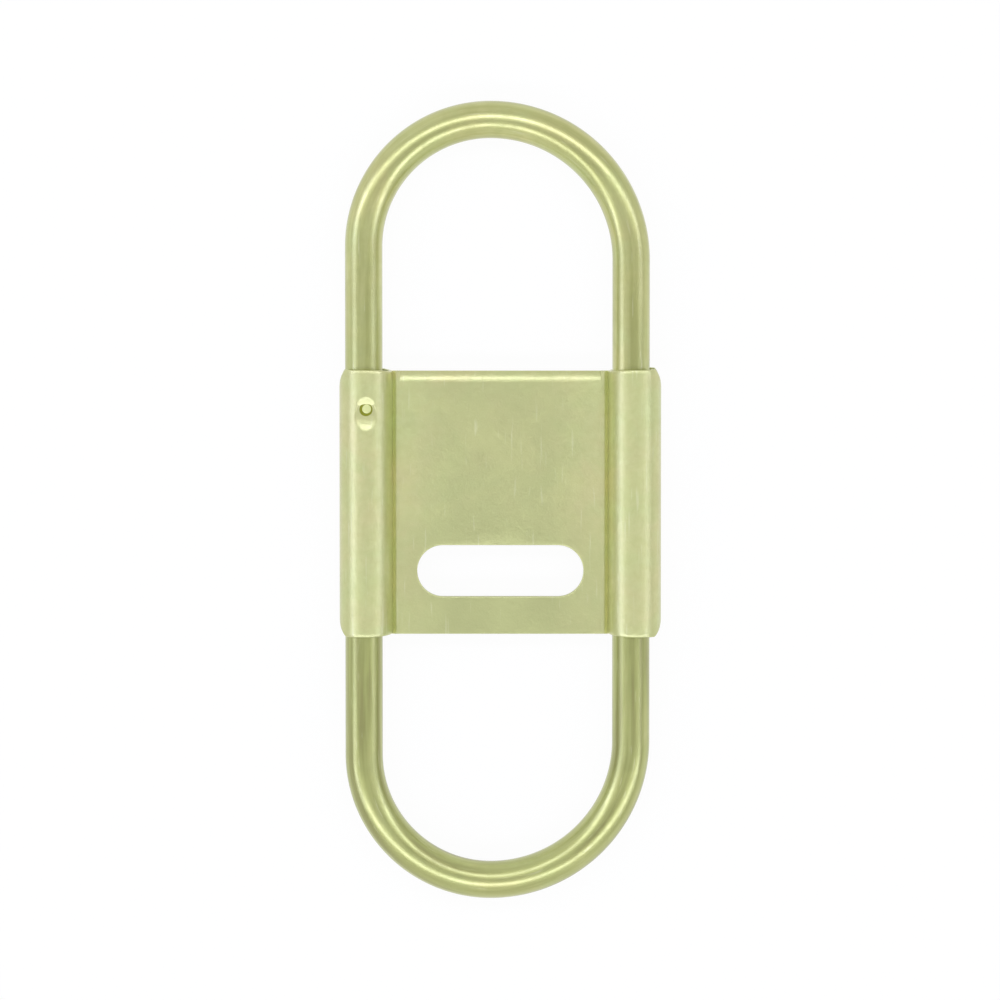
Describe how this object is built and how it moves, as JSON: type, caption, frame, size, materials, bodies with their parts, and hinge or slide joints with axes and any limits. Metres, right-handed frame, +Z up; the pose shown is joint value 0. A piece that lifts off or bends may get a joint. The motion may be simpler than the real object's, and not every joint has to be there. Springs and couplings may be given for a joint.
{
  "type": "two-way key carabiner",
  "caption": "Flat two-way key carabiner: a rolled brass sleeve with a strap slot joins two sprung rod shackles that pull out and turn open.",
  "frame": {"origin": "bottom centre of the closed part's bounding box, on the surface that it lies on", "axes": "+X across the sleeve from the heel channel to the toe channel, +Y along the length towards the upper loop, +Z up out of the front panel"},
  "size_m": [0.03, 0.0746, 0.005],
  "materials": {
    "sleeve": "satin, fine mottled tumbled grain",
    "rod": "polished, lightly handled",
    "pin": "polished",
    "inner_brass": "turned",
    "steel": "drawn"
  },
  "bodies": {
    "sleeve": {"sleeve": "sleeve", "upper_spring_seat": "inner_brass", "upper_spring": "steel", "upper_pin": "pin", "lower_spring_seat": "inner_brass", "lower_spring": "steel", "lower_pin": "pin"},
    "upper_slider": {"upper_thrust_washer": "steel"},
    "upper_shackle": {"upper_shackle": "rod", "upper_stem_cap": "inner_brass"},
    "lower_slider": {"lower_thrust_washer": "steel"},
    "lower_shackle": {"lower_shackle": "rod", "lower_stem_cap": "inner_brass"}
  },
  "joints": [
    {"name": "upper_pull", "type": "slide", "parent": "sleeve", "child": "upper_slider", "axis": [0, 1, 0], "range_m": [0, 0.0032], "stiffness_N_per_m": 2400, "springref_m": -0.0008, "deforming": ["upper_spring"]},
    {"name": "upper_turn", "type": "hinge", "parent": "upper_slider", "child": "upper_shackle", "pos_m": [-0.01272, 0.01235, 0.0025], "axis": [0, 1, 0], "continuous": true},
    {"name": "lower_pull", "type": "slide", "parent": "sleeve", "child": "lower_slider", "axis": [0, -1, 0], "range_m": [0, 0.0032], "stiffness_N_per_m": 2400, "springref_m": -0.0008, "deforming": ["lower_spring"]},
    {"name": "lower_turn", "type": "hinge", "parent": "lower_slider", "child": "lower_shackle", "pos_m": [-0.01272, -0.01265, 0.0025], "axis": [0, -1, 0], "continuous": true}
  ]
}
